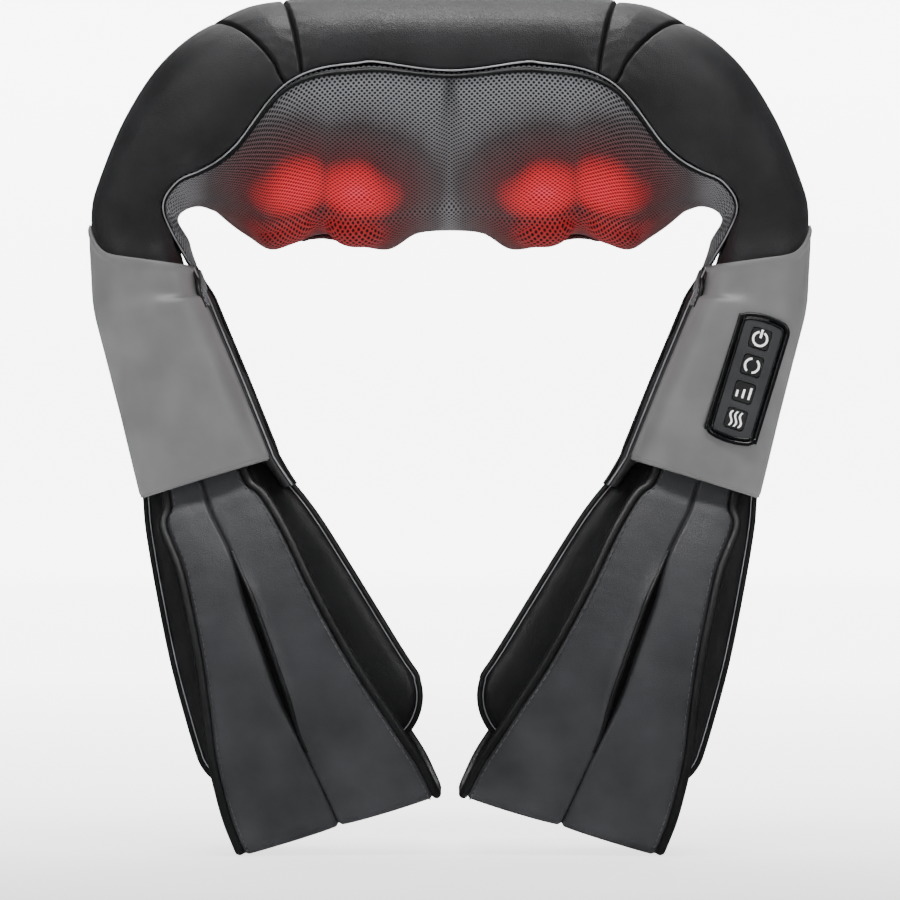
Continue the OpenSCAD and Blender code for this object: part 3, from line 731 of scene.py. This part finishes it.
ARM_POWER = 3.4
SLEEVE_LOW = 4
SLEEVE_RINGS = np.array([
    [4, 37.3, -38.4, -9.8, 27.8], [20, 36.4, -37, -9.5, 28.6], [50, 34.6, -34.4, -8.6, 29.8],
    [80, 33.2, -31.4, -7.8, 31], [105, 32.2, -29, -7, 32.4], [135, 31, -27, -7, 32.4],
    [160, 29.5, -24, -7, 32.4]])


def arm_edges(z):
    """Outside, inside, middle y and half depth of the arm at a height."""
    return [np.interp(z, SLEEVE_RINGS[:, 0], SLEEVE_RINGS[:, k]) for k in (1, 2, 3, 4)]


def arm_ring(z, a):
    """The arm's section at height z in its own frame, from its outside (0) over the front (90)."""
    outside, inside, y, deep = arm_edges(z)
    a = np.radians(a)
    c = power(np.cos(a), 2 / ARM_POWER)
    u = power(np.sin(a), 2 / ARM_POWER)
    return (outside + inside) / 2 + c * (outside - inside) / 2, y - u * deep


# Arm height where the sleeve starts to follow the collar, the collar's last station, and mm per station.
SLEEVE_TURN, LAST_STATION, STATION_RUN = 96.5, 9, 24


def sleeve_surface(side, t, a):
    """From the sleeve's lower edge, t = 0, to its lip, t = 1, which climbs round the outside of the shoulder."""
    lip = 7.56 - 0.47 * np.maximum(0, np.cos(np.radians(a))) ** 4
    height = SLEEVE_LOW + t * (SLEEVE_TURN - SLEEVE_LOW + (LAST_STATION - lip) * STATION_RUN)
    over = np.maximum(0, height - SLEEVE_TURN) / STATION_RUN
    x, y = arm_ring(height, a)
    arm = arm_point(side, x, y, height)
    inner_side = smooth(0.15, 0.85, -np.cos(np.radians(a)))
    collar = skin(side * (LAST_STATION - over), 90 + a, 1.3 + 3.2 * inner_side)
    part = smooth(0.0, 0.9, over)[..., None]
    lip_roll = 0.8 * np.exp(-((t - 0.985) / 0.012) ** 2)
    return arm * (1 - part) + collar * part, lip_roll


KEY_X, KEY_Z, FACE_Y, KEY_PITCH = 10.5, 64, -39.4, 15.3
PANEL_HALF_W, PANEL_HALF_L, PANEL_ARC, PANEL_CORNER = 14.4, 36, 40, 6
INLET_X, INLET_Z = 8, 22


def make_sleeve(side):
    """The grey shell of an arm, open for the key panel and the inlet on the right one."""
    rows, cols = 150, 220
    t = crowded(rows, 0.35)[:, None]
    p, roll = sleeve_surface(side, t, (np.arange(cols) * 360 / cols)[None, :])
    n = normals(np.concatenate([p[:, -1:], p, p[:, :1]], axis=1))[:, 1:-1]
    if n[rows // 2, 0, 0] * side < 0:
        n = -n  # outwards, judged in the middle of the arm's outside
    low_roll = 0.5 * np.exp(-((t - 0.006) / 0.006) ** 2)
    p = (p + n * (roll - low_roll)[..., None]).reshape(-1, 3)
    faces = grid_faces(rows, cols, wrap=True, flip=(side > 0))
    if side > 0:
        cut = in_opening(p)
        faces = [f for f in faces if not cut[f[0]]]
    piece = new_object("sleeve_shell_" + word(side), p, faces)
    put(piece, arm_name(side), GREY, ["sleeve_" + word(side), "arm_core_" + word(side)])
    return thicken(piece, 1.9)


def in_opening(p):
    """Which points of the right sleeve lie in the openings for the key panel and the inlet."""
    x, z = to_arm(1, p)
    keys = (p[:, 1] < -20) & (abs(x - KEY_X) < PANEL_HALF_W - 2.5) & (abs(z - KEY_Z) < PANEL_HALF_L - 4)
    return keys | ((p[:, 1] > 0) & (np.hypot(x - INLET_X, z - INLET_Z) < 5.0))


TRIM_TOP, TRIM_LOW = 117, -14


def trim_line(side, out, y, low, high, count=90):
    """A line down the inner side of an arm, out past the sleeve's inside edge."""
    z = np.linspace(high, low, count)
    return arm_point(side, trim_edge(z) - out * trim_width(z), y, z)


def trim_edge(z):
    """The sleeve's inside edge, and below the sleeve the line that runs on into the tongue's edge."""
    return arm_edges(z)[1] - 0.32 * np.maximum(0, SLEEVE_LOW - z)


def trim_width(z):
    """Share of the trim's full width: it narrows under the mesh strip and towards the tongue."""
    return (1 - 0.75 * smooth(96, 117, z)) * (1 - 0.35 * smooth(12, -12, z))


def strip_turn(s):
    """Degrees by which the strip's edges leave the mesh's line for the inner side of the arm."""
    return 30 * smooth(7.1, 8.2, np.abs(s))


def strip_edge(s):
    """How far the strip's edges stand off the collar's surface as they near the arm."""
    return 2.0 * smooth(6.8, 7.4, np.abs(s)) + 4.5 * smooth(7.4, 7.9, np.abs(s))


def make_arm_trim(side):
    """The padded edge inside each arm, with its pipings, and the mesh strip that joins it to the collar."""
    name = word(side)
    z = np.linspace(TRIM_TOP, TRIM_LOW, 96)
    turn = np.linspace(0, 2 * math.pi, 28, endpoint=False)
    wave = 0.3 * np.sin(z / 5.1 + 1.4 * np.sin(z / 11))
    half_w = (5.0 + wave) * trim_width(z)
    x = (trim_edge(z) + 1.3)[:, None] + half_w[:, None] * power(np.cos(turn), 0.8)
    y = -6.5 + 13.5 * power(np.sin(turn), 0.8)
    trim = surface("arm_trim_" + name, arm_point(side, x, y, z[:, None]), flip=(side < 0), wrap=True)
    put(trim, arm_name(side), BLACK_LEATHER)
    bright = trim_line(side, 1.7, -19.4, TRIM_LOW, TRIM_TOP)
    dark = trim_line(side, 4.3, -8, TRIM_LOW, TRIM_TOP)
    put(tube("trim_piping_" + name, bright, 0.4, 8), arm_name(side), SILVER)
    put(tube("trim_roll_" + name, dark, 1.1, 8), arm_name(side), ROLLED_LEATHER)

    s = (np.linspace(COVER_END - 0.05, 8.5, 120) * side)[:, None]
    if side < 0:
        s = s[::-1]
    v = np.linspace(0, 1, 44)[None, :]
    station = np.abs(s)
    angle = mix(mesh_front(s) + COVER_INSET + strip_turn(s), mesh_back(s) - COVER_INSET - strip_turn(s), v)
    gather = (0.4 * np.sin(2 * math.pi * GATHERS * v) * smooth(7.4, 6.0, station)
              * smooth(0, 0.1, v) * smooth(1, 0.9, v))
    inner = 5.5 * smooth(6.0, 7.0, station) + 2.5 * smooth(7.0, 8.0, station)
    p = skin(s, angle, -0.5 + gather + mix(strip_edge(s), inner, np.sin(math.pi * v) ** 0.5))
    run = lengths(p, 0)[0]
    uv = np.stack(np.broadcast_arrays(run[:, :1], v * 60), -1) * MM
    strip = surface("mesh_strip_" + name, p, uv=uv)
    blend_arm(strip, MESH)
    thicken(strip, 1.2)
    line = np.linspace(COVER_END - 0.03, 8.55, 110) * side
    for end, label, turn_by in ((mesh_front, "front", -1), (mesh_back, "rear", 1)):
        edge = end(line) - strip_turn(line) * turn_by
        bright = skin(line, edge, 0.6 + strip_edge(line))
        blend_arm(tube(f"strip_piping_{label}_{name}", bright, 0.45, 10), SILVER)
        roll = skin(line, edge - ROLL_TURN * turn_by, 0.1 + strip_edge(line))
        blend_arm(tube(f"strip_roll_{label}_{name}", roll, 1.25, 10), ROLLED_LEATHER)


TONGUE_Y = -2.8


def tongue_outline(inset=0.0, count=220):
    """The tongue's outline in its arm's frame, evenly spaced."""
    def arc(x, z, r, first, last):
        turns = [math.radians(a) for a in range(first, last + 1, 10)]
        return [(x + (r - inset) * math.cos(a), z - (r - inset) * math.sin(a)) for a in turns]

    points = [(34 - inset, 9), (36 - inset, 0), (39 - inset, -14), (43 - inset, -44), (47.4 - inset, -88),
              (48.7 - inset, -124)]
    points += arc(22.7, -142, 26, 0, 90) + arc(-50, -138, 30, 90, 180)
    points += [(-80 + inset, -134), (-75 + inset, -117), (-55 + inset, -41), (-44.5 + inset, -12),
               (-40 + inset, 0), (-35 + inset, 9)]
    return through(points, count)


def distance_to_line(points, line):
    """Distance in the plane from points to the nearest point of a line."""
    out = np.empty(len(points))
    for k in range(0, len(points), 2000):
        part = points[k:k + 2000]
        out[k:k + 2000] = np.sqrt(((part[:, None] - line[None]) ** 2).sum(-1)).min(1)
    return out


def inside_outline(x, z, outline):
    ok = np.zeros(len(x), bool)
    for (x0, z0), (x1, z1) in zip(outline, np.roll(outline, -1, axis=0)):
        if z0 != z1:
            ok ^= ((z0 > z) != (z1 > z)) & (x < (x1 - x0) * (z - z0) / (z1 - z0) + x0)
    return ok


def evaluated(piece):
    """The mesh of a piece with its modifiers applied, as new data."""
    graph = bpy.context.evaluated_depsgraph_get()
    graph.update()
    return bpy.data.meshes.new_from_object(piece.evaluated_get(graph))


def apply_modifiers(piece):
    mesh = evaluated(piece)
    piece.modifiers.clear()
    piece.data = mesh
    mesh.shade_smooth()


def inflate(piece, pinned, pressure, cap):
    """Blows a closed pad up as cloth, with the points of pinned held, and no point moved further than cap mm."""
    mesh = piece.data
    start = np.empty(len(mesh.vertices) * 3)
    mesh.vertices.foreach_get("co", start)
    group = piece.vertex_groups.new(name="held")
    group.add([int(k) for k in np.flatnonzero(pinned)], 1.0, "REPLACE")
    cloth = piece.modifiers.new("cloth", "CLOTH")
    cloth.settings.use_pressure = True
    cloth.settings.uniform_pressure_force = pressure
    cloth.settings.effector_weights.gravity = 0
    cloth.settings.vertex_group_mass = "held"
    cloth.settings.tension_stiffness = 12
    cloth.settings.compression_stiffness = 9
    cloth.settings.bending_stiffness = 0.4
    cloth.point_cache.frame_end = 20
    for f in range(1, 21):
        bpy.context.scene.frame_set(f)
    blown = evaluated(piece)
    piece.modifiers.clear()
    bpy.context.scene.frame_set(1)
    end = np.empty_like(start)
    blown.vertices.foreach_get("co", end)
    move = (end - start).reshape(-1, 3)
    far = np.linalg.norm(move, axis=1, keepdims=True)
    move *= np.minimum(1, cap * MM / np.maximum(far, 1e-9))
    mesh.vertices.foreach_set("co", (start.reshape(-1, 3) + move).ravel())
    piece.vertex_groups.clear()


def make_tongue(side):
    """The padded tongue behind each hand strap, blown up from a thinner slab."""
    name = word(side)
    outline = tongue_outline(0.8)
    grid = np.stack([g.ravel() for g in np.meshgrid(np.arange(-84, 56, 4.0), np.arange(-176, 12, 4.0))], 1)
    keep = inside_outline(*grid.T, outline) & (distance_to_line(grid, outline) > 2.2)
    flat = np.concatenate([outline, grid[keep]])
    rim = len(outline)
    triangles = fill_outline(flat, rim)
    near = distance_to_line(flat, outline)
    near[:rim] = 0
    half = 3.0 + 3.8 * np.sqrt(np.clip(1 - (1 - np.minimum(near, 13) / 13) ** 2, 0, 1))
    count = len(flat)
    front = arm_point(side, flat[:, 0], TONGUE_Y - half, flat[:, 1])
    back = arm_point(side, flat[:, 0], TONGUE_Y + half, flat[:, 1])
    faces = [tuple(f) for f in triangles] + [tuple(count + k for k in f[::-1]) for f in triangles]
    for k in range(rim):
        j = (k + 1) % rim
        faces.append((j, k, count + k, count + j))
    pad = new_object("tongue_pad_" + name, np.concatenate([front, back]), faces)
    bm = bmesh.new()
    bm.from_mesh(pad.data)
    bmesh.ops.recalc_face_normals(bm, faces=bm.faces)
    bm.to_mesh(pad.data)
    bm.free()
    remesh = pad.modifiers.new("remesh", "REMESH")
    remesh.mode = "VOXEL"
    remesh.voxel_size = 4 * MM
    apply_modifiers(pad)
    co = np.empty(len(pad.data.vertices) * 3)
    pad.data.vertices.foreach_get("co", co)
    at = np.stack(to_arm(side, co.reshape(-1, 3) / MM), 1)
    held = distance_to_line(at, outline) < 3.4
    inflate(pad, held, 4, 5.5)
    relax = pad.modifiers.new("relax", "SMOOTH")
    relax.factor = 0.5
    relax.iterations = 3
    finer = pad.modifiers.new("finer", "SUBSURF")
    finer.levels = 1
    finer.render_levels = 1
    apply_modifiers(pad)
    put(pad, arm_name(side), TONGUE_LEATHER, ["tongue_" + name])
    rim_line = tongue_outline(0.5, 260)
    roll = arm_point(side, rim_line[:, 0], TONGUE_Y, rim_line[:, 1])
    put(tube("tongue_roll_" + name, roll, 2.0, 12), arm_name(side), ROLLED_LEATHER)
    bright = tongue_outline(2.0, 260)
    line = arm_point(side, bright[:, 0], TONGUE_Y - 3.0, bright[:, 1])
    put(tube("tongue_piping_" + name, line, 0.3, 8), arm_name(side), SILVER)


def fill_outline(points, rim):
    """Triangles over scattered points inside a closed outline, the first rim points."""
    edges = [(k, (k + 1) % rim) for k in range(rim)]
    out = delaunay_2d_cdt([Vector(p) for p in points], edges, [], 1, 1e-6)
    if len(out[0]) != len(points):
        raise RuntimeError("the outline's points changed while it was filled")
    order = [group[0] for group in out[3]]
    return [tuple(order[k] for k in face) for face in out[2]]


STRAP_LINE = np.array([
    [-28, 10, 24, -24], [-29, -6, 26, -26], [-33, -16, 31, -32], [-41, -40, 29, -38],
    [-47, -66, 30.5, -42], [-50.5, -92, 33, -47], [-52, -118, 37, -53], [-51, -144, 41.6, -60.6],
    [-48, -166, 43.4, -67], [-44, -180, 43.8, -71], [-38, -192, 43.2, -73], [-29, -198.7, 43, -74],
    [-10, -199.3, 43, -74], [14, -199.3, 43, -74], [33, -198.7, 43, -74], [42, -192, 43.2, -73],
    [47, -180, 43.8, -71], [49, -166, 43.4, -67], [47, -144, 41.6, -60.6], [39, -122, 37.5, -54],
    [25, -102, 34.5, -49], [14.6, -88, 32.4, -46], [11, -78, 31.5, -44], [11, -48, 29, -39]], float)
STRAP_HALF = 1.5
# The middle seam's share of the strap's width at both ends of a run, and where its slit opens and closes.
SEAM_TOP, SEAM_END, SEAM_RUN = 0.47, 0.5, 180
SLIT_OPENS, SLIT_CLOSES = (52, 84), (166, 130)


def strap_path():
    """The strap's loop, its side normals and length so far, and its seam's place and how far that is open."""
    line = through(STRAP_LINE, 330)
    d = np.gradient(line[:, :2], axis=0)
    d /= np.linalg.norm(d, axis=1, keepdims=True)
    n = np.stack([d[:, 1], -d[:, 0]], 1)
    run = length_so_far(line[:, :2])
    seam_at = mix(SEAM_TOP, SEAM_END, np.clip(run / SEAM_RUN, 0, 1))
    return line.T, n, run, seam_at, smooth(*SLIT_OPENS, run) * smooth(*SLIT_CLOSES, run)


def strap_panel(side, outer):
    """Half of a hand strap, from its bound edge to the middle seam, which opens into a slit on the front."""
    (y, z, far_x, near_x), n, run, seam_at, slit = strap_path()
    run, seam_at, slit = run[:, None], seam_at[:, None], slit[:, None]
    f = crowded(46, 0.5)[None, :]
    across = mix(0, seam_at, f) if outer else mix(seam_at, 1, f)
    width = (far_x - near_x)[:, None]
    x = far_x[:, None] - width * across
    to_seam = width * abs(seam_at - across)
    to_edge = width * (across if outer else 1 - across)
    edge = np.minimum(to_seam, to_edge)
    crown = (1.1 * (1 - np.exp(-edge / 9)) - 1.5 * np.exp(-(to_seam / 1.1) ** 2)
             - 1.3 * np.exp(-((to_edge - 4.6) / 0.9) ** 2))
    if outer:
        crown = crown - slit * 3.4 * np.exp(-to_seam / 6)
        x = x + slit * 1.6 * np.exp(-to_seam / 5)
    else:
        crown = crown + slit * (3.0 * np.exp(-(to_seam / 5.0) ** 2) + 1.2 * np.exp(-(to_seam / 1.1) ** 2))
        x = x - slit * 2.2 * np.exp(-to_seam / 5)
    wrinkle = 0.22 * np.sin(run / 1.9 + 1.6 * np.sin(run / 13)) * np.exp(-to_edge / 7) * (to_edge > 3.5)
    soft = 0.45 * np.sin(run / 19 + 0.6) * np.sin(across * 7 + run / 37)
    up = STRAP_HALF + crown + wrinkle + soft * (1 - np.exp(-edge / 10))
    p = arm_point(side, x, y[:, None] + n[:, :1] * up, z[:, None] + n[:, 1:] * up)
    p[..., 2] = np.maximum(p[..., 2], 0.4)
    label = "outer" if outer else "inner"
    piece = surface(f"strap_{label}_panel_{word(side)}", p, flip=(side < 0))
    put(piece, arm_name(side), STRAP_LEATHER_PAINTED_LIGHTER, ["hand_strap_" + word(side)])
    thicken(piece, 2.6)


def make_strap(side):
    """A hand strap: two panels, bound and stitched edges, and the slit's rolled edge."""
    name, arm = word(side), arm_name(side)
    strap_panel(side, True)
    strap_panel(side, False)
    (y, z, far_x, near_x), n, run, seam_at, slit = strap_path()
    for x, inward, label in ((far_x, -1, "outer"), (near_x, 1, "inner")):
        edge = arm_point(side, x + inward * 2.3, y + n[:, 0] * 0.6, z + n[:, 1] * 0.6)
        edge[:, 2] = np.maximum(edge[:, 2], 2.6)
        put(tube(f"strap_binding_{label}_{name}", edge, 2.6, 14), arm, ROLLED_LEATHER)
        lift = STRAP_HALF + 0.95
        row = arm_point(side, x + inward * 6.6, y + n[:, 0] * lift, z + n[:, 1] * lift)
        row[:, 2] = np.maximum(row[:, 2], 0.9)
        out = arm_point(side, 0 * x, n[:, 0], n[:, 1]) - arm_point(side, 0, 0, 0)
        put(stitches(f"strap_stitches_{label}_{name}", row, out, 2.7, 1.3, 0.3), arm, THREAD)
    part = (run > 50) & (run < 170)
    x = far_x - (far_x - near_x) * seam_at - 2.1 * slit - 0.9
    lift = STRAP_HALF + mix(-1.1, 2.7, slit)
    roll = arm_point(side, x, y + n[:, 0] * lift, z + n[:, 1] * lift)[part]
    put(tube("strap_slit_roll_" + name, roll, 1.25, 12), arm, ROLLED_LEATHER)


# ---------------------------------------------------------------- key panel and inlet

def panel_outline(grow, count=160):
    """Straight sides, arched ends and round corners, centred on the panel."""
    w, l = PANEL_HALF_W + grow, PANEL_HALF_L + grow
    r = max(PANEL_CORNER + grow, 1.5)
    # Each corner's circle touches the side and the end's arc from inside.
    cx = w - r
    cz = (l - PANEL_ARC) + math.sqrt((PANEL_ARC - r) ** 2 - cx ** 2)
    lean = math.atan2(cz - (l - PANEL_ARC), cx)
    quarter = [(cx + r * math.cos(a), cz + r * math.sin(a)) for a in np.linspace(0, lean, 10)]
    quarter += [(PANEL_ARC * math.cos(a), l - PANEL_ARC + PANEL_ARC * math.sin(a))
                for a in np.linspace(lean, math.pi / 2, 14)[1:]]
    points = quarter + [(-x, z) for x, z in quarter[-2::-1]]
    return points + [(-x, -z) for x, z in points]


def key_outline(side_l, r=1.6):
    h = side_l / 2 - r
    return [(cx * h + r * math.cos(math.radians(a)), cz * h + r * math.sin(math.radians(a)))
            for k, (cx, cz) in enumerate(((1, 1), (-1, 1), (-1, -1), (1, -1)))
            for a in range(90 * k, 90 * k + 91, 15)]


def plate(name, loops, thick, bevel, front_y, x=KEY_X, z=KEY_Z):
    """A flat plate with bevelled edges and holes, in the right arm's front plane, as a mesh."""
    curve = bpy.data.curves.new(name, "CURVE")
    curve.dimensions = "2D"
    curve.fill_mode = "BOTH"
    curve.extrude = (thick / 2 - bevel) * MM
    curve.bevel_depth = bevel * MM
    curve.bevel_resolution = 2
    curve.offset = -bevel * MM
    for loop in loops:
        spline = curve.splines.new("POLY")
        spline.points.add(len(loop) - 1)
        for point, (a, b) in zip(spline.points, loop):
            point.co = (a * MM, b * MM, 0, 1)
        spline.use_cyclic_u = True
    holder = bpy.data.objects.new(name + "_curve", curve)
    bpy.context.scene.collection.objects.link(holder)
    mesh = evaluated(holder)
    bpy.data.objects.remove(holder)
    co = np.empty(len(mesh.vertices) * 3)
    mesh.vertices.foreach_get("co", co)
    co = co.reshape(-1, 3) / MM
    place = arm_point(1, x + co[:, 0], front_y + thick / 2 - co[:, 2], z + co[:, 1])
    mesh.vertices.foreach_set("co", (place * MM).ravel())
    mesh.update()
    piece = bpy.data.objects.new(name, mesh)
    bpy.context.scene.collection.objects.link(piece)
    return piece


def outline_tube(name, outline, y, radius):
    points = np.array(outline)
    path = through(np.vstack([points, points[:1]]), 260)[:-1]
    line = arm_point(1, KEY_X + path[:, 0], y, KEY_Z + path[:, 1])
    return tube(name, line, radius, 12, closed=True)


def arc_band(inner, outer, start, end):
    a = np.radians(np.linspace(start, end, 40))
    return ([(outer * math.cos(t), outer * math.sin(t)) for t in a]
            + [(inner * math.cos(t), inner * math.sin(t)) for t in a[::-1]])


def bar(x, low, high, width):
    return [(x - width / 2, low), (x + width / 2, low), (x + width / 2, high), (x - width / 2, high)]


def wave(x, low, high, width):
    z = np.linspace(low, high, 28)
    mid = x + 0.85 * np.sin((z - low) / (high - low) * 2 * math.pi)
    return list(zip(mid + width / 2, z)) + list(zip(mid[::-1] - width / 2, z[::-1]))


def make_keys():
    """The raised panel's plate and rims, and the plain signs on its four keys."""
    spots = [KEY_PITCH * (1.5 - k) for k in range(4)]
    holes = [[(x, z + spot) for x, z in key_outline(11.2)] for spot in spots]
    face = plate("panel_plate", [panel_outline(-3.2)] + holes, 2.2, 0.3, FACE_Y)
    put(face, "arm_right", PLATE, ["key_bezel"])
    base = plate("panel_base", [panel_outline(0.2), panel_outline(-3.6)], 5.2, 0.5, FACE_Y + 0.5)
    put(base, "arm_right", GLOSS_BLACK)
    put(outline_tube("panel_outer_rim", panel_outline(-0.6), FACE_Y + 0.3, 1.25), "arm_right", GLOSS_BLACK)
    put(outline_tube("panel_inner_rim", panel_outline(-3.1), FACE_Y + 0.2, 0.75), "arm_right", GLOSS_BLACK)
    icons = {"power": [arc_band(3.3, 4.4, 112, 428), bar(0, 0.6, 5.3, 1.2)],
             "direction": [arc_band(3.3, 4.4, 104, 240), arc_band(3.3, 4.4, 284, 420)],
             "intensity": [bar(-3.5, -3.2, 0.4, 1.1), bar(0, -3.2, 1.8, 1.1), bar(3.5, -3.2, 3.4, 1.1)],
             "heat": [wave(x, -4.2, 4.2, 1.0) for x in (-2.7, 0, 2.7)]}
    for (label, shapes), spot in zip(icons.items(), spots):
        for k, shape in enumerate(shapes):
            icon = plate(f"icon_{label}_{k + 1}", [shape], 0.36, 0.06, FACE_Y - 0.62, z=KEY_Z + spot)
            put(icon, "button_" + label, WHITE)


def make_inlet():
    """A raised ring round the DC socket, on the back of the right sleeve."""
    turn = np.linspace(0, 2 * math.pi, 72, endpoint=False)
    path = arm_point(1, INLET_X + 6.5 * np.cos(turn), 19.2, INLET_Z + 6.5 * np.sin(turn))
    put(tube("inlet_ring", path, 0.95, 12, closed=True), "arm_right", INLET)


studio()
dress_frame()
make_collar()
make_cover()
make_piping()
for arm in (-1, 1):
    make_sleeve(arm)
    make_arm_trim(arm)
    make_tongue(arm)
    make_strap(arm)
make_keys()
make_inlet()
